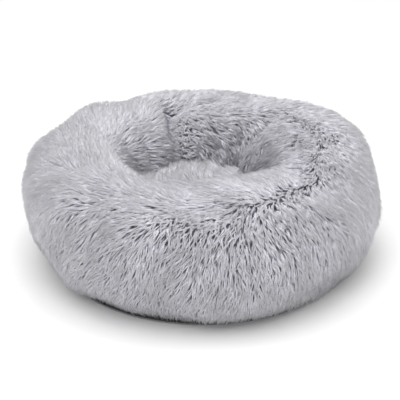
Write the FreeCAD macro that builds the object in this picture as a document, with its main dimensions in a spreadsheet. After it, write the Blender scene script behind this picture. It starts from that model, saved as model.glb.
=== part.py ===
"""Round pet cushion bed: a stuffed long-pile ring around a stuffed centre cushion, on a flat base panel.

Millimetres. +Z is up, the front faces -Y, and the origin is the centre of the base on the floor.
The ring's section is an upright oval. Every soft layer is that same oval, drawn in by its own depth.
"""
import FreeCAD, Part
import Sketcher
import math
import os

DOC = FreeCAD.newDocument("PetCushionBed")
UP = FreeCAD.Vector(0, 0, 1)

# Driving dimensions: alias and value.
DRIVING = (
    ("ring_radius", 166.0),          # centre line of the stuffed ring
    ("oval_half_width", 84.0),       # the ring's section, out to the tips of the laid pile
    ("oval_half_height", 96.0),
    ("oval_centre_height", 92.0),
    ("pile_depth", 14.0),            # backing cloth and laid pile together
    ("tape_thickness", 1.0),
    ("liner_thickness", 0.8),
    ("soft_gap", 0.3),               # air between neighbouring soft layers
    ("side_cloth", 4.0),             # pile pressed flat between the cushion and the ring
    ("mouth_inner_radius", 142.0),   # the ring cover is open below, between these two radii
    ("mouth_outer_radius", 190.0),
    ("mouth_height", 60.0),
    ("cushion_radius", 118.0),
    ("cushion_crown_height", 116.0),
    ("crown_sphere_radius", 286.0),
    ("panel_radius", 198.0),
    ("panel_thickness", 1.2),
    ("binding_width", 12.0),
    ("base_stitch_radius", 191.0),
    ("stitch_channel_width", 1.4),
    ("stitch_channel_depth", 0.7),
    ("centre_tape_inner_radius", 119.5),
    ("centre_tape_outer_radius", 127.5),
    ("centre_tape_thickness", 1.6),
    ("cross_seam_width_angle", 3.0),  # degrees of the ring that the closing tape covers
    ("cross_seam_floor", 20.0),
    ("label_width", 26.0),
    ("label_length", 33.0),
    ("label_satin", 0.25),
    ("label_fold_gap", 0.3),
    ("label_lift", 0.3),
)

# Repeated small pieces.
STITCH_LENGTH = 3.0
STITCH_PITCH = 4.0
STITCH_THICKNESS = 0.5
STITCH_WIDTH = 0.8
STITCH_LIFT = 0.1
DOT_RADIUS = 2.5
DOT_SPACING = 26.0
DOT_FIELD_RADIUS = 178.0


def make_sheet():
    """Write the driving dimensions into a spreadsheet, one alias a row."""
    sheet = DOC.addObject("Spreadsheet::Sheet", "Dims")
    for row, (alias, value) in enumerate(DRIVING, start=1):
        sheet.set(f"A{row}", alias)
        sheet.set(f"B{row}", str(value))
        sheet.setAlias(f"B{row}", alias)
    DOC.recompute()
    return sheet


SHEET = make_sheet()

# Heights above the floor and depths below the pile tips, as expressions on the sheet.
PANEL_TOP = "(Dims.tape_thickness + Dims.panel_thickness)"
LINER_INSET = "(Dims.pile_depth + Dims.tape_thickness + 2 * Dims.soft_gap)"
LINER_CAVITY_INSET = f"({LINER_INSET} + Dims.liner_thickness)"
FILL_INSET = f"({LINER_CAVITY_INSET} + Dims.soft_gap)"
CUSHION_FLOOR = f"({PANEL_TOP} + Dims.soft_gap)"
CUSHION_CLEARANCE = "(2 * Dims.soft_gap)"


def size(alias):
    """A driving dimension's value, for the shapes that code works out."""
    return float(SHEET.get(alias))


def bind(obj, **expressions):
    """Tie properties to the sheet. A double underscore in a name stands for a dot."""
    for name, expression in expressions.items():
        obj.setExpression(name.replace("__", "."), expression)
    return obj


def cylinder(name, radius, height, base="0"):
    """An upright cylinder on the Z axis, from height `base` up by `height`."""
    solid = DOC.addObject("Part::Cylinder", name)
    return bind(solid, Radius=radius, Height=height, Placement__Base__z=base)


def cut(name, base, tool):
    solid = DOC.addObject("Part::Cut", name)
    solid.Base = base
    solid.Tool = tool
    return solid


def fuse(name, *shapes):
    solid = DOC.addObject("Part::MultiFuse", name)
    solid.Shapes = list(shapes)
    return solid


def common(name, *shapes):
    solid = DOC.addObject("Part::MultiCommon", name)
    solid.Shapes = list(shapes)
    return solid


def tube(name, inner_radius, outer_radius, height, base="0"):
    """An upright tube on the Z axis."""
    outside = cylinder(name + "Outside", outer_radius, height, base)
    bore = cylinder(name + "Bore", inner_radius, height, base)
    return cut(name, outside, bore)


def oval_ring(name, inset, sweep="360"):
    """The ring's own solid, with its oval section drawn in by `inset` on every side."""
    oval = DOC.addObject("Part::Ellipse", name + "Oval")
    oval.Placement = FreeCAD.Placement(FreeCAD.Vector(), FreeCAD.Rotation(FreeCAD.Vector(1, 1, 1), -120))
    bind(oval,
         MajorRadius=f"Dims.oval_half_height - {inset}",
         MinorRadius=f"Dims.oval_half_width - {inset}",
         Placement__Base__x="Dims.ring_radius",
         Placement__Base__z="Dims.oval_centre_height")
    ring = DOC.addObject("Part::Revolution", name)
    ring.Source = oval
    ring.Axis = UP
    ring.Base = FreeCAD.Vector()
    ring.Solid = True
    return bind(ring, Angle=sweep)


def node(obj, label):
    """Name a finished sub-part."""
    obj.Label = label
    return obj


def ring_fur_cover():
    """The gathered fur strip: an oval shell, flat where it stands on the panel and open underneath."""
    shell = cut("CoverShell", oval_ring("CoverOuter", "0"), oval_ring("CoverInner", "Dims.pile_depth"))
    under = cylinder("CoverUnder", "2 * Dims.ring_radius", "Dims.mouth_height",
                     f"{PANEL_TOP} - Dims.mouth_height")
    mouth = tube("CoverMouth", "Dims.mouth_inner_radius", "Dims.mouth_outer_radius", "Dims.mouth_height / 2")
    return node(cut("RingFurCover", cut("CoverFlat", shell, under), mouth), "ring_fur_cover")


def ring_layer(name, inset, inner_radius, outer_radius, base):
    """A stuffed layer of the ring: the oval, with a foot that sags through the mouth onto the panel."""
    foot = tube(name + "Foot", inner_radius, outer_radius, "Dims.mouth_height", base)
    return fuse(name, oval_ring(name + "Body", inset), foot)


def ring_liner_bag():
    """The nonwoven bag that holds the ring's stuffing."""
    outside = ring_layer("LinerOutside", LINER_INSET,
                         "Dims.mouth_inner_radius + Dims.soft_gap",
                         "Dims.mouth_outer_radius - Dims.soft_gap",
                         CUSHION_FLOOR)
    inside = ring_layer("LinerInside", LINER_CAVITY_INSET,
                        "Dims.mouth_inner_radius + Dims.soft_gap + Dims.liner_thickness",
                        "Dims.mouth_outer_radius - Dims.soft_gap - Dims.liner_thickness",
                        f"{CUSHION_FLOOR} + Dims.liner_thickness")
    return node(cut("RingLinerBag", outside, inside), "ring_liner_bag")


def ring_fibre_fill():
    """The ring's stuffing."""
    fill = ring_layer("RingFibreFill", FILL_INSET,
                      "Dims.mouth_inner_radius + 2 * Dims.soft_gap + Dims.liner_thickness",
                      "Dims.mouth_outer_radius - 2 * Dims.soft_gap - Dims.liner_thickness",
                      f"{CUSHION_FLOOR} + Dims.liner_thickness + Dims.soft_gap")
    return node(fill, "ring_fibre_fill")


def ring_cross_seam_tape():
    """The tape over the seam that joins the strip's two ends, inside the cover at the back."""
    sweep = "Dims.cross_seam_width_angle"
    outer = oval_ring("CrossTapeOuter", "(Dims.pile_depth + Dims.soft_gap)", sweep)
    inner = oval_ring("CrossTapeInner", "(Dims.pile_depth + Dims.soft_gap + Dims.tape_thickness)", sweep)
    band = cut("CrossTapeBand", outer, inner)
    under = cylinder("CrossTapeUnder", "2 * Dims.ring_radius", "Dims.cross_seam_floor")
    tape = cut("RingCrossSeamTape", band, under)
    tape.Placement = FreeCAD.Placement(FreeCAD.Vector(), FreeCAD.Rotation(UP, 90))
    return node(tape, "ring_cross_seam_tape")


def cushion_layer(name, side_inset, crown_inset, floor):
    """The centre cushion's form: crowned on top, with a waist where the ring presses its side."""
    crown = DOC.addObject("Part::Sphere", name + "Crown")
    bind(crown,
         Radius=f"Dims.crown_sphere_radius - {crown_inset}",
         Placement__Base__z="Dims.cushion_crown_height - Dims.crown_sphere_radius")
    drum = cylinder(name + "Drum", f"Dims.cushion_radius - {side_inset}", "Dims.cushion_crown_height", floor)
    pressing_ring = oval_ring(name + "Waist", f"(0 - {CUSHION_CLEARANCE} - {side_inset})")
    return cut(name, common(name + "Dome", crown, drum), pressing_ring)


def cushion_fur_cover():
    """The cushion's fur cover, open underneath where its lining disc closes it."""
    outside = cushion_layer("CushionOutside", "0", "0", CUSHION_FLOOR)
    inside = cushion_layer("CushionInside", "Dims.side_cloth", "Dims.pile_depth", "0")
    return node(cut("CushionFurCover", outside, inside), "cushion_fur_cover")


def cushion_lining_disc():
    """The thin disc that closes the cushion underneath."""
    disc = cylinder("CushionLiningDisc",
                    "Dims.cushion_radius - Dims.side_cloth - Dims.soft_gap",
                    "Dims.liner_thickness", CUSHION_FLOOR)
    return node(disc, "cushion_lining_disc")


def cushion_fibre_fill():
    """The cushion's stuffing."""
    fill = cushion_layer("CushionFibreFill",
                         "(Dims.side_cloth + Dims.soft_gap)",
                         "(Dims.pile_depth + Dims.soft_gap)",
                         f"{CUSHION_FLOOR} + Dims.liner_thickness + Dims.soft_gap")
    return node(fill, "cushion_fibre_fill")


def origin_plane(body, role):
    """One of a body's own origin planes, found by its role."""
    return next(f for f in body.Origin.OriginFeatures if f.Role == role)


def sketch_on(body, name, role):
    sketch = body.newObject("Sketcher::SketchObject", name)
    sketch.AttachmentSupport = [(origin_plane(body, role), "")]
    sketch.MapMode = "FlatFace"
    return sketch


def add_outline(sketch, corners):
    """Draw a closed outline of upright and level lines. Each is (x, y, x expression, y expression)."""
    count = len(corners)
    points = [FreeCAD.Vector(x, y, 0) for x, y, _, _ in corners]
    for i in range(count):
        sketch.addGeometry(Part.LineSegment(points[i], points[(i + 1) % count]), False)
    for i in range(count):
        sketch.addConstraint(Sketcher.Constraint("Coincident", i, 2, (i + 1) % count, 1))
        level = points[i].y == points[(i + 1) % count].y
        sketch.addConstraint(Sketcher.Constraint("Horizontal" if level else "Vertical", i))
    tied_x, tied_y = set(), set()
    for i, (x, y, x_expression, y_expression) in enumerate(corners):
        if x not in tied_x:
            place = sketch.addConstraint(Sketcher.Constraint("DistanceX", -1, 1, i, 1, x))
            sketch.setExpression(f"Constraints[{place}]", x_expression)
            tied_x.add(x)
        if y and y not in tied_y:
            place = sketch.addConstraint(Sketcher.Constraint("DistanceY", -1, 1, i, 1, y))
            sketch.setExpression(f"Constraints[{place}]", y_expression)
        elif not y and y not in tied_y:
            sketch.addConstraint(Sketcher.Constraint("PointOnObject", i, 1, -1))
        tied_y.add(y)


def turn(body, feature_type, name, sketch):
    """Revolve a sketch about the body's Z axis, adding or removing material."""
    feature = body.newObject(feature_type, name)
    feature.Profile = sketch
    feature.ReferenceAxis = (sketch, ["V_Axis"])
    feature.Angle = 360.0
    sketch.Visibility = False
    body.Tip = feature
    DOC.recompute()
    return feature


def base_seam_binding():
    """The tape under the panel's edge, turned up over it, with a channel that its stitches sink into."""
    body = DOC.addObject("PartDesign::Body", "BaseSeamBinding")
    edge = size("panel_radius")
    tape = size("tape_thickness")
    rim = edge + tape
    inner = edge - size("binding_width")
    top = tape + size("panel_thickness")
    outline = sketch_on(body, "BindingSection", "XZ_Plane")
    inner_at = "Dims.panel_radius - Dims.binding_width"
    rim_at = "Dims.panel_radius + Dims.tape_thickness"
    add_outline(outline, (
        (inner, 0, inner_at, "0"),
        (rim, 0, rim_at, "0"),
        (rim, top, rim_at, PANEL_TOP),
        (edge, top, "Dims.panel_radius", PANEL_TOP),
        (edge, tape, "Dims.panel_radius", "Dims.tape_thickness"),
        (inner, tape, inner_at, "Dims.tape_thickness"),
    ))
    plain_volume = turn(body, "PartDesign::Revolution", "BindingTurn", outline).Shape.Volume
    middle = size("base_stitch_radius")
    half = size("stitch_channel_width") / 2
    depth = size("stitch_channel_depth")
    channel = sketch_on(body, "ChannelSection", "XZ_Plane")
    near = "Dims.base_stitch_radius - Dims.stitch_channel_width / 2"
    far = "Dims.base_stitch_radius + Dims.stitch_channel_width / 2"
    add_outline(channel, (
        (middle - half, 0, near, "0"),
        (middle + half, 0, far, "0"),
        (middle + half, depth, far, "Dims.stitch_channel_depth"),
        (middle - half, depth, near, "Dims.stitch_channel_depth"),
    ))
    groove = turn(body, "PartDesign::Groove", "ChannelGroove", channel)
    removed = plain_volume - groove.Shape.Volume
    expected = 2 * math.pi * middle * 2 * half * depth
    if abs(removed - expected) > 0.01 * expected:
        raise RuntimeError("The stitch channel removed %.1f mm3, not %.1f" % (removed, expected))
    return node(body, "base_seam_binding")


def base_panel():
    """The coated woven disc that closes the bed underneath."""
    body = DOC.addObject("PartDesign::Body", "BasePanel")
    outline = sketch_on(body, "PanelSection", "XZ_Plane")
    edge = size("panel_radius")
    low = size("tape_thickness")
    high = low + size("panel_thickness")
    add_outline(outline, (
        (0, low, "0", "Dims.tape_thickness"),
        (edge, low, "Dims.panel_radius", "Dims.tape_thickness"),
        (edge, high, "Dims.panel_radius", PANEL_TOP),
        (0, high, "0", PANEL_TOP),
    ))
    turn(body, "PartDesign::Revolution", "PanelTurn", outline)
    return node(body, "base_panel")


def centre_seam_tape():
    """The tape that sews the hems of the ring's inner wall and of the cushion to the panel."""
    tape = tube("CentreSeamTape", "Dims.centre_tape_inner_radius", "Dims.centre_tape_outer_radius",
                "Dims.centre_tape_thickness", PANEL_TOP)
    return node(tape, "centre_seam_tape")


def stitch_circle(name, radius, low):
    """Thread bars end to end on a circle, each a separate solid, lying on height `low`."""
    count = int(2 * math.pi * radius / STITCH_PITCH)
    corner = FreeCAD.Vector(radius - STITCH_WIDTH / 2, -STITCH_LENGTH / 2, low)
    bar = Part.makeBox(STITCH_WIDTH, STITCH_LENGTH, STITCH_THICKNESS, corner)
    bars = []
    for i in range(count):
        turned = bar.copy()
        turned.rotate(FreeCAD.Vector(), UP, 360.0 * i / count)
        bars.append(turned)
    group = DOC.addObject("Part::Feature", name)
    group.Shape = Part.makeCompound(bars)
    group.Placement = FreeCAD.Placement()
    return group


def base_seam_stitches():
    """The thread in the binding's channel."""
    return node(stitch_circle("BaseSeamStitches", size("base_stitch_radius"), STITCH_LIFT),
                "base_seam_stitches")


def centre_seam_stitches():
    """The thread on top of the centre tape."""
    radius = (size("centre_tape_inner_radius") + size("centre_tape_outer_radius")) / 2
    top = size("tape_thickness") + size("panel_thickness") + size("centre_tape_thickness")
    return node(stitch_circle("CentreSeamStitches", radius, top), "centre_seam_stitches")


def grip_dots():
    """Soft dots under the panel, in a triangular grid, level with the binding."""
    row_step = DOT_SPACING * math.sqrt(3) / 2
    rows = int(DOT_FIELD_RADIUS / row_step)
    columns = int(DOT_FIELD_RADIUS / DOT_SPACING) + 1
    dots = []
    for row in range(-rows, rows + 1):
        shift = DOT_SPACING / 2 if row % 2 else 0.0
        for column in range(-columns, columns + 1):
            centre = FreeCAD.Vector(column * DOT_SPACING + shift, row * row_step, 0)
            if centre.Length <= DOT_FIELD_RADIUS:
                dots.append(Part.makeCylinder(DOT_RADIUS, size("tape_thickness"), centre))
    group = DOC.addObject("Part::Feature", "GripDots")
    group.Shape = Part.makeCompound(dots)
    group.Placement = FreeCAD.Placement()
    return node(group, "grip_dots")


def care_label():
    """A blank satin label folded once, lying out of the base seam at the back."""
    block = DOC.addObject("Part::Box", "LabelBlock")
    bind(block,
         Length="Dims.label_width",
         Width="Dims.label_length",
         Height="2 * Dims.label_satin + Dims.label_fold_gap",
         Placement__Base__x="-Dims.label_width / 2",
         Placement__Base__y="Dims.panel_radius + Dims.tape_thickness + Dims.soft_gap",
         Placement__Base__z="Dims.label_lift")
    fold = DOC.addObject("Part::Box", "LabelFold")
    bind(fold,
         Length="2 * Dims.label_width",
         Width="Dims.label_length",
         Height="Dims.label_fold_gap",
         Placement__Base__x="-Dims.label_width",
         Placement__Base__y="Dims.panel_radius + Dims.tape_thickness + Dims.soft_gap - Dims.label_satin",
         Placement__Base__z="Dims.label_lift + Dims.label_satin")
    return node(cut("CareLabel", block, fold), "care_label")


SUB_PARTS = [
    ring_fur_cover(),
    ring_cross_seam_tape(),
    ring_liner_bag(),
    ring_fibre_fill(),
    cushion_fur_cover(),
    cushion_lining_disc(),
    cushion_fibre_fill(),
    centre_seam_tape(),
    centre_seam_stitches(),
    base_panel(),
    base_seam_binding(),
    base_seam_stitches(),
    grip_dots(),
    care_label(),
]

DOC.recompute()
for item in DOC.Objects:
    if {"Invalid", "Error"} & set(item.State):
        raise RuntimeError(item.Name + " did not recompute")
for part in SUB_PARTS:
    if part.Shape.isNull() or not part.Shape.isValid() or not part.Shape.Solids:
        raise RuntimeError(part.Label + " has no valid solid")

os.makedirs("parts", exist_ok=True)
for part in SUB_PARTS:
    part.Shape.exportStep(os.path.join("parts", part.Label + ".step"))
    box = part.Shape.BoundBox
    print("%-22s solids %3d  volume %11.1f mm3  z %6.1f to %6.1f  reach %6.1f"
          % (part.Label, len(part.Shape.Solids), part.Shape.Volume, box.ZMin, box.ZMax, box.XMax))
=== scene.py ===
"""Looks for the round plush pet bed: stuffed skins under a pile of mesh hairs, on a white studio floor."""
import math

import bpy
import numpy as np
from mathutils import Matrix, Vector


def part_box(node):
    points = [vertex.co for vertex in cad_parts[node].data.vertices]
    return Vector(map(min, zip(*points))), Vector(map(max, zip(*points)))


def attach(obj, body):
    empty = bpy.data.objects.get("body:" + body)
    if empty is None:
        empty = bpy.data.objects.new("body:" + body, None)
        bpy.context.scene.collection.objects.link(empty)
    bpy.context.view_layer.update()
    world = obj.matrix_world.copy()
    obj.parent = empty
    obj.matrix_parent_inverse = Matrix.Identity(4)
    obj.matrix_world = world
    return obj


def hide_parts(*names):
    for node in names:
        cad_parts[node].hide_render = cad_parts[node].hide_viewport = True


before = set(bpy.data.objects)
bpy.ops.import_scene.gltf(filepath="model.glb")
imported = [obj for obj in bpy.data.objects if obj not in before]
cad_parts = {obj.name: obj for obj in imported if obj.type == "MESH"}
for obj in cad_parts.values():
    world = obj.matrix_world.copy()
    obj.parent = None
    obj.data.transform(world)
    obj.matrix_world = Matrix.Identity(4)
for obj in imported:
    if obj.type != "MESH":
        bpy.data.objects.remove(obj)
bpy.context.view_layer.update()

MM = 0.001
DEG = math.pi / 180
SEED = 757
TWO_PI = 2 * math.pi

# The ring's section is an upright oval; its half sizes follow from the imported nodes.
RING_LOW, RING_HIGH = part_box("ring_fur_cover")
CUSHION_LOW, CUSHION_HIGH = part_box("cushion_fur_cover")
RING_RADIUS = 166 * MM
OVAL_HALF_WIDTH = RING_HIGH.x - RING_RADIUS
OVAL_CENTRE = 92 * MM
OVAL_HALF_HEIGHT = RING_HIGH.z - OVAL_CENTRE
FLOOR_OF_RING = RING_LOW.z + 0.4 * MM
PILE_HEIGHT = 13 * MM            # from the skin to the tips of the laid pile

BINDING_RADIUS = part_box("base_seam_binding")[1].x
CAD_NODES_SHOWN = ("base_panel", "base_seam_binding", "base_seam_stitches", "grip_dots", "care_label",
                   "centre_seam_tape", "centre_seam_stitches", "ring_cross_seam_tape", "cushion_lining_disc")

# Grids of the skins.
RING_AROUND, RING_ACROSS = 216, 96
CUSHION_AROUND, CUSHION_ACROSS = 120, 44

# Cloth's run: its frames, the furthest it may move a point, and how softly its hold ends above the pins.
CLOTH_FRAMES = 20
CLOTH_CAP = 3 * MM
HOLD_FADE = 25 * MM


def smooth(x):
    """0 below 0, 1 above 1, an S curve between."""
    x = np.clip(x, 0, 1)
    return x * x * (3 - 2 * x)


def unit(v):
    return v / np.maximum(np.linalg.norm(v, axis=-1, keepdims=True), 1e-12)


def turn_gap(a, b):
    """The signed difference of two angles, from -pi to pi."""
    return (a - b + math.pi) % (2 * math.pi) - math.pi


class Ripple:
    """Smooth noise in space: a sum of seeded plane waves of about one wavelength, with deviation 1."""

    def __init__(self, seed, wavelength, waves=14):
        rng = np.random.default_rng(seed)
        spread = rng.uniform(0.7, 1.4, (waves, 1))
        self.vectors = unit(rng.normal(size=(waves, 3))) * spread * 2 * math.pi / wavelength
        self.phases = rng.uniform(0, 2 * math.pi, waves)
        self.scale = math.sqrt(2 / waves)

    def __call__(self, points):
        return np.sin(points @ self.vectors.T + self.phases).sum(-1) * self.scale


# ---------------------------------------------------------------- skins

BROAD = Ripple(SEED + 1, 210 * MM)
MIDDLE = Ripple(SEED + 2, 90 * MM)

# Soft bulges and hollows of the ring's skin: around, across (degrees), half sizes along both, height (mm).
BULGES = (
    (85, 102, 5, 8, -9),         # two dimples inside the crest at the back
    (69, 103, 5, 8, -9),
    (80, 56, 34, 20, 4),         # the back rim
    (298, 64, 8, 10, -5),        # the parting on the front right
    (155, 66, 20, 34, 6),        # the shoulder at the back left
    (180, 20, 20, 30, -4),
    (122, 73, 14, 40, -5),
    (138, 58, 10, 20, 4),
    (158, 45, 9, 16, -3),
    (174, 34, 7, 16, 5),
    (22, 45, 26, 34, 10),        # the shoulder at the back right
    (32, 48, 9, 18, 9),
    (54, 62, 9, 18, -3),
    (202, -20, 22, 24, -5),      # the left side is tucked in below
    (245, -52, 22, 24, -5),
    (318, -28, 24, 34, -21),     # and the front right
    (238, 112, 24, 24, -8),      # the rim dips at the front left
    (185, 160, 34, 40, -12),     # the nest is wider at the left
    (325, 135, 28, 28, -6),
    (8, 122, 26, 24, 15),        # and its right wall stands further in
    (6, 152, 26, 30, 21),
    (22, 174, 16, 28, 12),
    (354, -6, 12, 20, -7),
)
# Sharp creases: from (around, across) to (around, across) in degrees, half width of the valley (degrees), its
# depth, half width of the edge, and how far the side at the larger angle stands above the other (mm).
CREASES = (
    (113, 102, 126, 195, 12, -14, 1.8, 30),     # down the inner wall at the back left
    (38, 110, 18, 185, 5.0, -10, 2.7, -18),     # slanting down the right inner wall
)


def beside_crease(around, across, crease):
    """How far to the side of a crease a point is, in degrees, and 1 along the crease, fading at its ends."""
    from_around, from_across, to_around, to_across = crease[:4]
    run = np.array([to_around - from_around, to_across - from_across], float)
    length = np.hypot(*run)
    run = run / length
    da = turn_gap(around * DEG, from_around * DEG) / DEG
    dc = turn_gap(across * DEG, from_across * DEG) / DEG
    place = (da * run[0] + dc * run[1]) / length
    side = da * run[1] - dc * run[0]
    return side, smooth(place / 0.25 + 0.5) * smooth((1 - place) / 0.25 + 0.5)


def crease_height(around, across):
    """The height that the creases add to the skin, in mm; angles in degrees."""
    height = np.zeros(around.shape)
    for crease in CREASES:
        side, ends = beside_crease(around, across, crease)
        width, depth, edge, step = crease[4:]
        valley = depth * np.exp(-(side / width) ** 2)
        stand = 0.5 * step * np.tanh(side / edge) * np.exp(-(side / 24) ** 2)
        height = height + ends * (valley + stand)
    return height


def ring_skin(around, across):
    """The ring's skin at angles around the bed and across its section (0 outward, pi/2 up, pi inward)."""
    left = smooth((-np.cos(around) + 1) / 2)
    half_width = OVAL_HALF_WIDTH - PILE_HEIGHT
    half_height = OVAL_HALF_HEIGHT - PILE_HEIGHT
    lean = (left - 0.5) * 46 * MM
    c, s = np.cos(across), np.sin(across)
    r = RING_RADIUS + half_width * c
    z = OVAL_CENTRE + half_height * s + lean * np.maximum(c, 0) ** 2 * np.cos(across)
    points = np.stack([r * np.cos(around), r * np.sin(around), z], -1)
    normal = unit(np.stack([c * np.cos(around) / half_width, c * np.sin(around) / half_width,
                            s / half_height], -1))
    height = 1.2 * BROAD(points) + 1.2 * MIDDLE(points)
    gathers = np.sin(around * 23 + 2 * np.sin(around * 3)) * smooth((across / math.pi - 0.62) / 0.3)
    height = height + 1.5 * gathers * (across < 1.5 * math.pi)
    height = height + crease_height(around / DEG, across / DEG)
    for mid_around, mid_across, half_around, half_across, lift in BULGES:
        a = turn_gap(around, mid_around * DEG) / (half_around * DEG)
        b = turn_gap(across, mid_across * DEG) / (half_across * DEG)
        height = height + lift * np.exp(-a * a - b * b)
    above = smooth((z - FLOOR_OF_RING) / (30 * MM))
    points = points + normal * (height * MM * above)[..., None]
    points[..., 2] = np.maximum(points[..., 2], FLOOR_OF_RING)
    return points


def cushion_skin(around, across):
    """The cushion's skin: `across` runs 0 at the crown's middle to 1 at the underside's middle."""
    half = 0.5 * (2 * np.minimum(across, 1 - across)) ** 1.8
    across = np.where(across < 0.5, half, 1 - half)
    top = CUSHION_HIGH.z - PILE_HEIGHT
    bottom = CUSHION_LOW.z + 0.4 * MM
    side = (89 + 13 * smooth(0.5 - np.cos(around + 10 * DEG))) * MM
    turn = (0.5 - across) * math.pi
    r = side * np.cos(turn) ** 0.55
    z = (top + bottom) / 2 + (top - bottom) / 2 * np.sign(turn) * np.abs(np.sin(turn)) ** 0.4
    points = np.stack([r * np.cos(around), r * np.sin(around), z], -1)
    upper = smooth((z - bottom) / (top - bottom) * 2 - 1)
    valley = -3 * np.exp(-((points[..., 0] - 12 * MM - 0.3 * points[..., 1]) / (9 * MM)) ** 2)
    rise = 5 * smooth((-points[..., 0] - 10 * MM) / (60 * MM))
    lift = 1.2 * MIDDLE(points) + 1.0 * BROAD(points) + valley + rise
    points[..., 2] = points[..., 2] + lift * upper * MM
    return points


def grid_mesh(name, points, closed_across):
    """A mesh from a grid of points that closes around, and across too or with a cap at each end."""
    around, across = points.shape[:2]
    index = np.arange(around * across).reshape(around, across)
    ahead = np.roll(index, -1, 0)
    if closed_across:
        up, ahead_up = np.roll(index, -1, 1), np.roll(ahead, -1, 1)
        quads = np.stack([index, ahead, ahead_up, up], -1).reshape(-1, 4)
        faces = quads.tolist()
    else:
        quads = np.stack([index[:, :-1], index[:, 1:], ahead[:, 1:], ahead[:, :-1]], -1).reshape(-1, 4)
        faces = quads.tolist() + [index[:, 0].tolist(), index[::-1, -1].tolist()]
    mesh = bpy.data.meshes.new(name)
    mesh.from_pydata(points.reshape(-1, 3).tolist(), [], faces)
    mesh.update()
    mesh.shade_smooth()
    piece = bpy.data.objects.new(name, mesh)
    bpy.context.scene.collection.objects.link(piece)
    return piece


def coordinates(piece):
    co = np.zeros(len(piece.data.vertices) * 3, np.float32)
    piece.data.vertices.foreach_get("co", co)
    return co.reshape(-1, 3).astype(float)


def puff(piece, pressure, held):
    """Stuff a skin by Cloth with pressure, its points below height `held` pinned.

    No point moves more than CLOTH_CAP before the mean growth is taken off again, which keeps the skin's size.
    """
    before = coordinates(piece)
    normals = np.zeros(len(before) * 3, np.float32)
    piece.data.vertices.foreach_get("normal", normals)
    normals = normals.reshape(-1, 3).astype(float)
    pins = piece.vertex_groups.new(name="held")
    pins.add(np.flatnonzero(before[:, 2] < held).tolist(), 1.0, "REPLACE")
    cloth = piece.modifiers.new("Cloth", "CLOTH")
    settings = cloth.settings
    settings.quality = 5
    settings.mass = 0.3
    settings.tension_stiffness = 15
    settings.compression_stiffness = 15
    settings.bending_stiffness = 0.5
    settings.use_pressure = True
    settings.uniform_pressure_force = pressure
    settings.shrink_min = -0.05
    settings.vertex_group_mass = "held"
    settings.effector_weights.gravity = 0
    cloth.collision_settings.use_collision = False
    scene = bpy.context.scene
    for step in range(1, CLOTH_FRAMES + 1):
        scene.frame_set(step)
    shape = piece.evaluated_get(bpy.context.evaluated_depsgraph_get()).data
    after = np.zeros(len(before) * 3, np.float32)
    shape.vertices.foreach_get("co", after)
    after = after.reshape(-1, 3).astype(float)
    piece.modifiers.remove(cloth)
    scene.frame_set(1)
    move = after - before
    size = np.linalg.norm(move, axis=1, keepdims=True)
    move *= np.minimum(1, CLOTH_CAP / np.maximum(size, 1e-9))
    free = smooth((before[:, 2] - held) / HOLD_FADE)
    move *= free[:, None]
    growth = (move * normals).sum() / free.sum()
    move -= normals * (growth * free)[:, None]
    piece.data.vertices.foreach_set("co", (before + move).astype(np.float32).ravel())
    piece.data.update()


class Skin:
    """A grid of skin points that can be read at any pair of grid coordinates."""

    def __init__(self, points, closed_across):
        self.points = points
        self.closed = closed_across
        back, forth = np.roll(points, 1, 0), np.roll(points, -1, 0)
        along = forth - back
        if closed_across:
            over = np.roll(points, -1, 1) - np.roll(points, 1, 1)
        else:
            over = np.gradient(points, axis=1)
        self.along, self.over = unit(along), unit(over)
        self.normal = unit(np.cross(along, over))
        self.inward = -self.normal if closed_across else self.normal

    def read(self, field, i, j):
        """`field` at fractional grid coordinates i around and j across."""
        n, m = field.shape[:2]
        i0, j0 = np.floor(i).astype(int), np.floor(j).astype(int)
        fi, fj = (i - i0)[:, None], (j - j0)[:, None]
        i1 = (i0 + 1) % n
        i0 = i0 % n
        if self.closed:
            j1 = (j0 + 1) % m
            j0 = j0 % m
        else:
            j1 = np.clip(j0 + 1, 0, m - 1)
            j0 = np.clip(j0, 0, m - 1)
        return ((field[i0, j0] * (1 - fi) + field[i1, j0] * fi) * (1 - fj)
                + (field[i0, j1] * (1 - fi) + field[i1, j1] * fi) * fj)


# ---------------------------------------------------------------- fur

SWAY = Ripple(SEED + 11, 80 * MM)
SWAY_FINE = Ripple(SEED + 12, 30 * MM)
TUFT_TURN = Ripple(SEED + 15, 13 * MM, 24)
TUFT_LIFT = Ripple(SEED + 16, 12 * MM, 24)
PATCH = Ripple(SEED + 13, 55 * MM)
LENGTHS = Ripple(SEED + 14, 40 * MM)

TUFT_GAP = 3.2 * MM
HAIRS_IN_TUFT = 6
HAIR_RADIUS = 0.56 * MM
PILE_LENGTH = 24 * MM
TUFT_HEIGHT = 0.97               # how high a tuft and a stray hair may stand, against the laid pile
STRAY_HEIGHT = 1.22
TRIM_HEIGHT = 1.5 * MM           # the lowest that a hair hangs above the floor
FUR_FROM, FUR_TO = -72, 200      # where the ring's pile starts and ends across its section, in degrees
HAIRS_IN_PIECE = 33000


def laid(normals, combs, lifts):
    """Unit vectors that stand `lifts` above the skin, over the comb's direction."""
    return normals * np.sin(lifts)[..., None] + combs * np.cos(lifts)[..., None]


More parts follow.
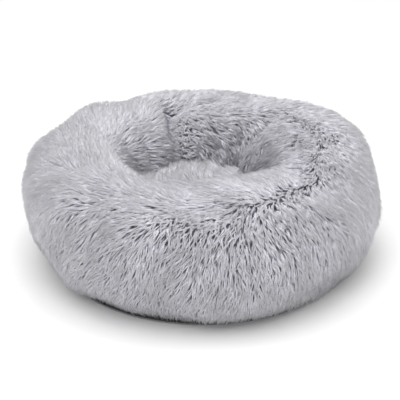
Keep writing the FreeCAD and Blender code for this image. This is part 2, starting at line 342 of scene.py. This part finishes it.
def hairs_of(rng, roots, normals, combs, lengths, lifts, tidiness):
    """The hairs of each tuft as root, middle and tip points: (hairs, 3, 3)."""
    shape = (len(roots), HAIRS_IN_TUFT)
    side = np.cross(normals, combs)
    spin = rng.uniform(0, 2 * math.pi, shape)
    far = np.sqrt(rng.uniform(0, 1, shape)) * TUFT_GAP
    start = (roots[:, None] + (np.cos(spin) * far)[..., None] * combs[:, None]
             + (0.38 * np.sin(spin) * far)[..., None] * side[:, None])
    loose = (1 - tidiness)[:, None]
    swing = rng.normal(0, 1, shape) * (0.03 + 0.06 * loose)
    own_comb = combs[:, None] * np.cos(swing)[..., None] + side[:, None] * np.sin(swing)[..., None]
    own_lift = lifts[:, None] + rng.normal(0, 1, shape) * (3 + 3 * loose) * DEG
    own_length = lengths[:, None] * rng.uniform(0.80, 1.10, shape)
    own_length = np.minimum(own_length, STRAY_HEIGHT * PILE_HEIGHT / np.sin(np.maximum(own_lift, 5 * DEG)))
    own_normal = np.broadcast_to(normals[:, None], own_comb.shape)
    middle = start + 0.45 * own_length[..., None] * laid(own_normal, own_comb, own_lift * 1.6)
    tip = start + own_length[..., None] * laid(own_normal, own_comb, own_lift)
    gathered_middle = roots + 0.45 * lengths[:, None] * laid(normals, combs, lifts * 1.6)
    gathered_tip = roots + lengths[:, None] * laid(normals, combs, lifts)
    pull = tidiness[:, None, None]
    middle = middle + (gathered_middle[:, None] - middle) * pull * 0.45
    ahead = (own_length / lengths[:, None] - 0.95)[..., None] * (gathered_tip - roots)[:, None]
    tip = tip + (gathered_tip[:, None] + ahead - tip) * pull
    return np.stack([start, middle, tip], 2).reshape(-1, 3, 3)


def hair_mesh(name, lines, tones, radius, material):
    """One mesh of closed three-sided hairs, pointed at both ends and widest in the middle."""
    count = len(lines)
    run = unit(lines[:, 2] - lines[:, 0])
    helper = np.where(np.abs(run[:, 2:]) < 0.8, np.array([[0.0, 0, 1]]), np.array([[1.0, 0, 0]]))
    first = unit(np.cross(run, helper))
    second = np.cross(run, first)
    corners = np.empty((count, 5, 3))
    corners[:, 0] = lines[:, 0]
    corners[:, 4] = lines[:, 2]
    for k in range(3):
        angle = TWO_PI * k / 3
        corners[:, 1 + k] = lines[:, 1] + radius[:, None] * (
            math.cos(angle) * first + math.sin(angle) * second)
    faces = np.array([(0, 2, 1), (0, 3, 2), (0, 1, 3), (1, 2, 4), (2, 3, 4), (3, 1, 4)])
    index = (faces[None] + (np.arange(count) * 5)[:, None, None]).reshape(-1)
    mesh = bpy.data.meshes.new(name)
    mesh.vertices.add(count * 5)
    mesh.vertices.foreach_set("co", corners.astype(np.float32).ravel())
    mesh.loops.add(len(index))
    mesh.loops.foreach_set("vertex_index", index.astype(np.int32))
    mesh.polygons.add(len(index) // 3)
    mesh.polygons.foreach_set("loop_start", np.arange(0, len(index), 3, dtype=np.int32))
    mesh.polygons.foreach_set("use_smooth", np.ones(len(index) // 3, bool))
    uv = np.empty((count, 5, 2))
    # U runs from root to tip, so the root end takes the material's painted shade.
    uv[..., 0] = np.array([0.02, 0.5, 0.5, 0.5, 0.98])
    uv[..., 1] = np.clip(tones, 0.02, 0.98)[:, None]
    layer = mesh.uv_layers.new(name="OFBake")
    layer.data.foreach_set("uv", uv.reshape(-1, 2)[index].astype(np.float32).ravel())
    mesh.update()
    mesh.materials.append(material)
    piece = bpy.data.objects.new(name, mesh)
    bpy.context.scene.collection.objects.link(piece)
    return piece


# How the pile is combed: its heading in degrees, where 0 lies down the outside, 90 lies anticlockwise round
# the bed seen from above, and 180 lies down into the nest. One row for each 30 degrees round the bed, from
# the right; one column for each angle across.
COMB_ACROSS = (-60, 0, 38, 58, 80, 105, 135, 165)
COMB = (
    (0, -2, -6, -20, -58, -109, -148, -169),        # right
    (0, -2, -8, -22, -58, -115, -148, -160),
    (0, 0, 0, -15, -45, -75, -125, -150),
    (0, 0, -5, -25, -60, -90, -125, -140),          # back
    (0, 0, -10, -40, -60, -65, -100, -112),
    (0, 0, -15, -45, -60, -65, -90, -110),
    (0, 0, -15, -45, -65, -80, -120, -140),         # left
    (-10, -15, -25, -55, -75, -90, -140, -160),
    (-15, -25, -35, -65, -95, -110, -150, -170),
    (-10, -15, -22, -65, -98, -115, -150, -170),    # front
    (0, 0, 5, 0, -125, -140, -158, -170),
    (5, 5, 3, -10, -68, -118, -150, -170),
)
# Where hairs part or fan out from a point: around, across (degrees), reach (mm), strength.
WHORLS = (
    (298, 66, 22, 0.35),
    (85, 102, 10, 0.9),
    (69, 103, 10, 0.9),
)
# Patches where the pile stands up, or lies flatter: around, across, half sizes along both, and the lift
# that is added, all in degrees.
UPRIGHT = (
    (106, 150, 10, 32, 22),
    (298, 68, 12, 8, 12),
    (318, 78, 13, 8, 6),
    (345, 88, 20, 12, -6),
    (14, 96, 22, 14, -6),
    (38, 106, 14, 12, -4),
    (262, 50, 34, 7, 14),
)


def ring_comb(around, across, points, normals, along, over, nearest):
    """The way the pile lies at each root on the ring, as unit vectors in the skin's plane, and how firmly."""
    headings = np.array(COMB, float) * DEG
    table = np.stack([np.sin(headings), -np.cos(headings)], -1)
    row = (around / (30 * DEG)) % 12
    stations = np.array(COMB_ACROSS, float)
    column = np.interp(across / DEG, stations, np.arange(len(stations)))
    r0, c0 = np.floor(row).astype(int), np.minimum(np.floor(column).astype(int), len(stations) - 2)
    fr, fc = smooth(row - r0)[:, None], smooth(column - c0)[:, None]
    r0, r1 = r0 % 12, (r0 + 1) % 12
    mixed = ((table[r0, c0] * (1 - fr) + table[r1, c0] * fr) * (1 - fc)
             + (table[r0, c0 + 1] * (1 - fr) + table[r1, c0 + 1] * fr) * fc)
    push = mixed[:, :1] * along + mixed[:, 1:] * over
    for mid_around, mid_across, reach, strength in WHORLS:
        away = points - nearest(mid_around * DEG, mid_across * DEG)
        gap = np.linalg.norm(away, axis=1)
        weight = strength * np.exp(-(gap / (reach * MM)) ** 2)
        push = push + unit(away) * weight[:, None]
    swing = 0.20 * SWAY(points) + 0.14 * SWAY_FINE(points) + 0.16 * TUFT_TURN(points)
    push = push + np.cross(normals, push) * swing[:, None]
    push = push - normals * (push * normals).sum(1)[:, None]
    firmness = np.linalg.norm(push, axis=1)
    return unit(push), firmness


def grid_roots(rng, skin, rows_from, rows_to, gap):
    """Roots on a jittered grid of even spacing: fractional grid coordinates around and across."""
    points = skin.points
    row_length = np.linalg.norm(np.roll(points, -1, 0) - points, axis=2).sum(0)
    if skin.closed:
        step = np.linalg.norm(np.roll(points, -1, 1) - points, axis=2).mean(0)
    else:
        step = np.append(np.linalg.norm(points[:, 1:] - points[:, :-1], axis=2).mean(0), 0)
    j, found_i, found_j = rows_from, [], []
    while j < rows_to:
        row = int(j) % points.shape[1]
        pitch = gap * 0.87 / max(step[row], 1e-5)
        count = max(1, int(row_length[row] / gap))
        base = np.arange(count) + rng.uniform(0, 1)
        found_i.append((base + rng.uniform(-0.42, 0.42, count)) / count * points.shape[0])
        found_j.append(j + rng.uniform(-0.42, 0.42, count) * pitch)
        j += pitch
    return np.concatenate(found_i), np.concatenate(found_j)


def grow(name, lines, tones, radius, material, node, order):
    """Hair meshes of at most HAIRS_IN_PIECE hairs, in the order given."""
    lines, tones, radius = lines[order], tones[order], radius[order]
    parts = math.ceil(len(lines) / HAIRS_IN_PIECE)
    for k, chosen in enumerate(np.array_split(np.arange(len(lines)), parts), start=1):
        piece = hair_mesh(f"{name}_{k:02d}", lines[chosen], tones[chosen], radius[chosen], material)
        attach(piece, "root")
        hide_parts(node)


# ---------------------------------------------------------------- materials

def new_material(name, roughness, sheen=0.0):
    material = bpy.data.materials.new(name)
    material.use_nodes = True
    shader = material.node_tree.nodes["Principled BSDF"]
    shader.inputs["Roughness"].default_value = roughness
    shader.inputs["Sheen Weight"].default_value = sheen
    shader.inputs["Specular IOR Level"].default_value = 0.2
    return material, material.node_tree, shader


def fur_material(name, root, tip, swing):
    """Pile whose colour runs from root to tip, the root end darker and bluer as painted shade between the
    hairs, and varies in tone from hair to hair.
    """
    material, tree, shader = new_material(name, 0.55, 0.25)
    nodes, links = tree.nodes, tree.links
    place = nodes.new("ShaderNodeUVMap")
    place.uv_map = "OFBake"
    split = nodes.new("ShaderNodeSeparateXYZ")
    links.new(place.outputs["UV"], split.inputs[0])
    ramp = nodes.new("ShaderNodeValToRGB")
    ramp.color_ramp.elements[0].position = 0.0
    # The root colour, darker and bluer than the tip, is painted shade in the gaps between hairs.
    ramp.color_ramp.elements[0].color = (*root, 1)
    ramp.color_ramp.elements[1].position = 0.85
    ramp.color_ramp.elements[1].color = (*tip, 1)
    links.new(split.outputs["X"], ramp.inputs[0])
    tone = nodes.new("ShaderNodeMapRange")
    tone.inputs["To Min"].default_value = 1 - swing
    tone.inputs["To Max"].default_value = 1 + swing
    links.new(split.outputs["Y"], tone.inputs["Value"])
    scaled = nodes.new("ShaderNodeVectorMath")
    scaled.operation = "SCALE"
    links.new(ramp.outputs["Color"], scaled.inputs[0])
    links.new(tone.outputs["Result"], scaled.inputs["Scale"])
    links.new(scaled.outputs["Vector"], shader.inputs["Base Color"])
    return material


def math_node(tree, operation, *values):
    """The result of a sum on sockets and numbers."""
    node = tree.nodes.new("ShaderNodeMath")
    node.operation = operation
    for socket, value in zip(node.inputs, values):
        if isinstance(value, (int, float)):
            socket.default_value = value
        else:
            tree.links.new(value, socket)
    return node.outputs[0]


def axes(tree):
    """The object coordinates in metres, as three sockets."""
    place = tree.nodes.new("ShaderNodeTexCoord")
    split = tree.nodes.new("ShaderNodeSeparateXYZ")
    tree.links.new(place.outputs["Object"], split.inputs[0])
    return split.outputs


def threads(tree, coordinate, pitch):
    """Round ridges 0 to 1 along a coordinate, one for each `pitch`."""
    phase = math_node(tree, "MULTIPLY", coordinate, TWO_PI / pitch)
    return math_node(tree, "MULTIPLY_ADD", math_node(tree, "SINE", phase), 0.5, 0.5)


def plain_weave(tree, pitch):
    """Threads over and under in both directions."""
    x, y, _ = axes(tree)
    return math_node(tree, "MAXIMUM", threads(tree, x, pitch), threads(tree, y, pitch))


def twill(tree, pitch):
    """Slanting ridges."""
    x, y, z = axes(tree)
    slant = math_node(tree, "ADD", math_node(tree, "ADD", x, y), z)
    return threads(tree, slant, pitch)


def ribs(tree, pitch):
    """Ridges that run outward from the Z axis, `pitch` apart at the binding."""
    x, y, _ = axes(tree)
    turn = math_node(tree, "ARCTAN2", y, x)
    return threads(tree, math_node(tree, "MULTIPLY", turn, BINDING_RADIUS), pitch)


def specks(tree, pitch):
    """A fine irregular grain, about `pitch` across."""
    noise = tree.nodes.new("ShaderNodeTexNoise")
    place = tree.nodes.new("ShaderNodeTexCoord")
    tree.links.new(place.outputs["Object"], noise.inputs["Vector"])
    noise.inputs["Scale"].default_value = 1 / pitch
    noise.inputs["Detail"].default_value = 4
    return noise.outputs["Fac"]


def loops(tree, pitch):
    """Small round cells, as on a knitted backing or bonded web."""
    cells = tree.nodes.new("ShaderNodeTexVoronoi")
    place = tree.nodes.new("ShaderNodeTexCoord")
    tree.links.new(place.outputs["Object"], cells.inputs["Vector"])
    cells.inputs["Scale"].default_value = 1 / pitch
    return cells.outputs["Distance"]


def cloth_material(name, colour, roughness, pattern, pitch, relief, contrast=0.25, sheen=0.0):
    """A cloth whose pattern shows in its colour, roughness and bump, with a slow drift of tone over it."""
    material, tree, shader = new_material(name, roughness, sheen)
    nodes, links = tree.nodes, tree.links
    height = pattern(tree, pitch)
    ramp = nodes.new("ShaderNodeValToRGB")
    ramp.color_ramp.elements[0].color = (*[c * (1 - contrast) for c in colour], 1)
    ramp.color_ramp.elements[1].color = (*colour, 1)
    links.new(height, ramp.inputs[0])
    drift = nodes.new("ShaderNodeMapRange")
    drift.inputs["To Min"].default_value = 0.88
    drift.inputs["To Max"].default_value = 1.10
    links.new(specks(tree, 25 * MM), drift.inputs["Value"])
    scaled = nodes.new("ShaderNodeVectorMath")
    scaled.operation = "SCALE"
    links.new(ramp.outputs["Color"], scaled.inputs[0])
    links.new(drift.outputs["Result"], scaled.inputs["Scale"])
    links.new(scaled.outputs["Vector"], shader.inputs["Base Color"])
    gloss = nodes.new("ShaderNodeMapRange")
    gloss.inputs["To Min"].default_value = min(1, roughness + 0.1)
    gloss.inputs["To Max"].default_value = roughness - 0.08
    links.new(height, gloss.inputs["Value"])
    links.new(gloss.outputs["Result"], shader.inputs["Roughness"])
    bump = nodes.new("ShaderNodeBump")
    bump.inputs["Strength"].default_value = 0.6
    bump.inputs["Distance"].default_value = relief
    links.new(height, bump.inputs["Height"])
    links.new(bump.outputs["Normal"], shader.inputs["Normal"])
    return material


# The cloths: colour, roughness, pattern, its pitch, relief, contrast, sheen.
CLOTHS = {
    "pile_backing": ((0.56, 0.55, 0.60), 0.90, loops, 1.6 * MM, 0.4 * MM, 0.35, 0.2),
    "liner_cloth": ((0.78, 0.78, 0.78), 0.85, loops, 1.2 * MM, 0.1 * MM, 0.12, 0.0),
    "fibre_fill": ((0.86, 0.86, 0.85), 0.95, specks, 6 * MM, 3.0 * MM, 0.20, 0.4),
    "base_panel": ((0.19, 0.19, 0.20), 0.62, plain_weave, 0.9 * MM, 0.08 * MM, 0.35, 0.0),
    "base_seam_binding": ((0.27, 0.27, 0.28), 0.75, ribs, 1.1 * MM, 0.15 * MM, 0.35, 0.1),
    "base_seam_stitches": ((0.50, 0.50, 0.52), 0.55, twill, 0.5 * MM, 0.10 * MM, 0.30, 0.1),
    "centre_seam_stitches": ((0.62, 0.62, 0.64), 0.55, twill, 0.5 * MM, 0.10 * MM, 0.30, 0.1),
    "centre_seam_tape": ((0.66, 0.66, 0.66), 0.80, twill, 1.0 * MM, 0.12 * MM, 0.22, 0.1),
    "ring_cross_seam_tape": ((0.66, 0.66, 0.66), 0.80, twill, 1.0 * MM, 0.12 * MM, 0.22, 0.1),
    "cushion_lining_disc": ((0.78, 0.78, 0.78), 0.85, loops, 1.2 * MM, 0.1 * MM, 0.12, 0.0),
    "grip_dots": ((0.07, 0.07, 0.075), 0.50, specks, 0.8 * MM, 0.05 * MM, 0.30, 0.0),
    "care_label": ((0.84, 0.84, 0.82), 0.40, twill, 0.4 * MM, 0.03 * MM, 0.08, 0.3),
}


# ---------------------------------------------------------------- build

def lining(name, skin, depth, look, node):
    """A stuffed layer inside a skin: its own closed form, `depth` below the skin's surface."""
    every = slice(None, None, 2)
    points = skin.points[every, every] + skin.inward[every, every] * depth
    piece = grid_mesh(name, points, skin.closed)
    piece.data.materials.append(look)
    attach(piece, "root")
    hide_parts(node)


# The root colour is painted shade: darker and bluer than the tips, as the gaps between hairs look in shade.
fur_look = fur_material("fur", (0.56, 0.55, 0.66), (0.88, 0.87, 0.91), 0.23)
skin_look = cloth_material("pile_backing", *CLOTHS["pile_backing"])

around, across = np.meshgrid(np.arange(RING_AROUND) / RING_AROUND * TWO_PI,
                             np.arange(RING_ACROSS) / RING_ACROSS * TWO_PI, indexing="ij")
ring = grid_mesh("ring_skin", ring_skin(around, across), True)
ring.data.materials.append(skin_look)
puff(ring, 4.0, 14 * MM)
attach(ring, "root")
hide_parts("ring_fur_cover")
ring_field = Skin(coordinates(ring).reshape(RING_AROUND, RING_ACROSS, 3), True)

around, across = np.meshgrid(np.arange(CUSHION_AROUND) / CUSHION_AROUND * TWO_PI,
                             np.linspace(0.01, 0.99, CUSHION_ACROSS), indexing="ij")
cushion = grid_mesh("cushion_skin", cushion_skin(around, across), False)
cushion.data.materials.append(skin_look)
puff(cushion, 2.0, 40 * MM)
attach(cushion, "root")
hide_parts("cushion_fur_cover")
cushion_field = Skin(coordinates(cushion).reshape(CUSHION_AROUND, CUSHION_ACROSS, 3), False)

liner_look = cloth_material("liner_cloth", *CLOTHS["liner_cloth"])
fill_look = cloth_material("fibre_fill", *CLOTHS["fibre_fill"])
lining("ring_liner", ring_field, 2.0 * MM, liner_look, "ring_liner_bag")
lining("ring_stuffing", ring_field, 3.5 * MM, fill_look, "ring_fibre_fill")
lining("cushion_stuffing", cushion_field, 2.0 * MM, fill_look, "cushion_fibre_fill")


def ring_point(around, across):
    """The point of the stuffed ring at a pair of angles."""
    i = np.array([around / TWO_PI * RING_AROUND])
    j = np.array([across / TWO_PI * RING_ACROSS])
    return ring_field.read(ring_field.points, i, j)[0]


def hair_tones(rng, points):
    """A tone for each hair: drifting over patches, and varied from tuft to tuft and hair to hair."""
    tuft_tone = 0.5 + 0.08 * PATCH(points) + rng.normal(0, 0.17, len(points))
    tones = np.repeat(tuft_tone, HAIRS_IN_TUFT) + rng.normal(0, 0.10, len(points) * HAIRS_IN_TUFT)
    return np.minimum(tones, 0.82)


def ring_fur():
    """The ring's pile: guard hairs and tighter tufts at the front, and a trim beside the first crease."""
    rng = np.random.default_rng(SEED + 21)
    low, high = FUR_FROM / 360 * RING_ACROSS, FUR_TO / 360 * RING_ACROSS
    i, j = grid_roots(rng, ring_field, low, high, TUFT_GAP)
    points = ring_field.read(ring_field.points, i, j)
    normals = unit(ring_field.read(ring_field.normal, i, j))
    along = unit(ring_field.read(ring_field.along, i, j))
    over = unit(ring_field.read(ring_field.over, i, j))
    a, c = i / RING_AROUND * TWO_PI, j / RING_ACROSS * TWO_PI
    combs, firmness = ring_comb(a, c, points, normals, along, over, ring_point)
    coarse = smooth((-points[:, 1] - 90 * MM) / (90 * MM)) * smooth((75 * DEG - c) / (40 * DEG))
    back_wall = np.exp(-(turn_gap(a, 72 * DEG) / (42 * DEG)) ** 4) * smooth((c - 116 * DEG) / (20 * DEG))
    coarse = np.maximum(coarse, 0.55 * back_wall)
    upright = np.zeros(len(points))
    for mid_around, mid_across, half_around, half_across, lift in UPRIGHT:
        da = turn_gap(a, mid_around * DEG) / (half_around * DEG)
        dc = turn_gap(c, mid_across * DEG) / (half_across * DEG)
        upright = upright + lift * np.exp(-da * da - dc * dc)
    jitter = rng.normal(0, 1, len(points)) * (0.10 + 0.13 * coarse + 0.034 * np.abs(upright))
    combs = unit(combs + np.cross(normals, combs) * jitter[:, None])
    guard = rng.random(len(points)) < 0.3
    lengths = PILE_LENGTH * (1 + 0.06 * LENGTHS(points)) * rng.uniform(0.86, 1.08, len(points))
    lengths = lengths * (1 + 0.22 * guard * coarse)
    rise = 29 + rng.normal(0, 1, len(points)) * (4 + 2 * coarse) + (3 + 4 * coarse) * TUFT_LIFT(points)
    rise = rise + 14 * (1 - smooth(firmness)) + 7 * coarse * smooth((10 * DEG - c) / (50 * DEG))
    lifts = np.clip(rise + upright, 14, 72) * DEG
    lengths = np.minimum(lengths, TUFT_HEIGHT * PILE_HEIGHT / np.sin(lifts))
    side, ends = beside_crease(a / DEG, c / DEG, CREASES[0])
    lengths = lengths * (1 - 0.5 * ends * np.exp(-((side - 3) / 5) ** 2))
    tidiness = np.clip(0.30 + 0.52 * coarse + rng.normal(0, 0.10, len(points)), 0.0, 0.95)
    lines = hairs_of(rng, points, normals, combs, lengths, lifts, tidiness)
    lines[..., 2] = np.maximum(lines[..., 2], TRIM_HEIGHT)
    radius = HAIR_RADIUS * rng.uniform(0.8, 1.15, len(lines))
    order = np.argsort(np.repeat(np.floor(a / TWO_PI * 360) % 360, HAIRS_IN_TUFT), kind="stable")
    tones = hair_tones(rng, points)
    grow("ring_fur", lines, tones, radius, fur_look, "ring_fur_cover", order)


def cushion_fur():
    """The cushion's pile, brushed to the back, and to the left on its right side."""
    rng = np.random.default_rng(SEED + 22)
    i, j = grid_roots(rng, cushion_field, 0.3, 0.45 * CUSHION_ACROSS, TUFT_GAP)
    points = cushion_field.read(cushion_field.points, i, j)
    normals = -unit(cushion_field.read(cushion_field.normal, i, j))
    normals = np.where(normals[:, 2:] < 0, -normals, normals)
    side = smooth((points[:, 0] + 5 * MM) / (35 * MM))
    heading = (100 + 65 * side + 18 * SWAY(points)) * DEG
    push = np.stack([np.cos(heading), np.sin(heading), 0 * heading], -1)
    push = push - normals * (push * normals).sum(1)[:, None]
    combs = unit(push)
    combs = unit(combs + np.cross(normals, combs) * rng.normal(0, 0.08, len(points))[:, None])
    lengths = PILE_LENGTH * rng.uniform(0.85, 1.1, len(points))
    lifts = np.clip(rng.normal(31, 4, len(points)) + 3 * TUFT_LIFT(points), 12, 65) * DEG
    tidiness = np.clip(rng.normal(0.3, 0.1, len(points)), 0, 0.95)
    lines = hairs_of(rng, points, normals, combs, lengths, lifts, tidiness)
    radius = HAIR_RADIUS * rng.uniform(0.8, 1.15, len(lines))
    order = np.arange(len(lines))
    tones = hair_tones(rng, points)
    grow("cushion_fur", lines, tones, radius, fur_look, "cushion_fur_cover", order)


ring_fur()
cushion_fur()

for node in CAD_NODES_SHOWN:
    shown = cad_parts[node]
    shown.data.materials.clear()
    shown.data.materials.append(cloth_material(node, *CLOTHS[node]))


# ---------------------------------------------------------------- stage

def softbox(name, place, watts):
    """A square area light of 1.4 m that faces the bed."""
    light = bpy.data.lights.new(name, "AREA")
    light.energy = watts
    light.size = 1.4
    lamp = bpy.data.objects.new(name, light)
    lamp.location = place
    lamp.rotation_euler = (Vector((0, 0, 0.1)) - lamp.location).to_track_quat("-Z", "Y").to_euler()
    bpy.context.scene.collection.objects.link(lamp)


def studio():
    """The floor, the even light all round and the three softboxes."""
    mesh = bpy.data.meshes.new("floor")
    size = 6.0
    corners = [(-size, -size, 0), (size, -size, 0), (size, size, 0), (-size, size, 0)]
    mesh.from_pydata(corners, [], [(0, 1, 2, 3)])
    floor = bpy.data.objects.new("floor", mesh)
    bpy.context.scene.collection.objects.link(floor)
    material = bpy.data.materials.new("floor")
    material.use_nodes = True
    shader = material.node_tree.nodes["Principled BSDF"]
    shader.inputs["Base Color"].default_value = (0.95, 0.95, 0.95, 1)
    shader.inputs["Roughness"].default_value = 0.9
    shader.inputs["Specular IOR Level"].default_value = 0.0
    mesh.materials.append(material)
    world = bpy.data.worlds.new("studio")
    bpy.context.scene.world = world
    world.use_nodes = True
    world.node_tree.nodes["Background"].inputs["Color"].default_value = (1, 1, 1, 1)
    world.node_tree.nodes["Background"].inputs["Strength"].default_value = 0.83
    softbox("overhead", (-0.1, -0.15, 2.1), 15)
    softbox("front", (-0.1, -1.4, 1.9), 14)
    softbox("fill", (-1.2, -1.4, 1.0), 1.5)
    bpy.context.scene.view_settings.view_transform = "Standard"


def camera():
    """A long lens that looks down on the bed from the front."""
    data = bpy.data.cameras.new("camera")
    data.lens = 114.6
    data.sensor_width = 36
    eye = bpy.data.objects.new("camera", data)
    target = Vector((-3 * MM, 0, 87 * MM))
    elevation = 25 * DEG
    back = Vector((0, -math.cos(elevation), math.sin(elevation)))
    eye.location = target + back * 1.80
    eye.rotation_euler = (-back).to_track_quat("-Z", "Y").to_euler()
    data.clip_end = 30
    bpy.context.scene.collection.objects.link(eye)
    bpy.context.scene.camera = eye


studio()
camera()
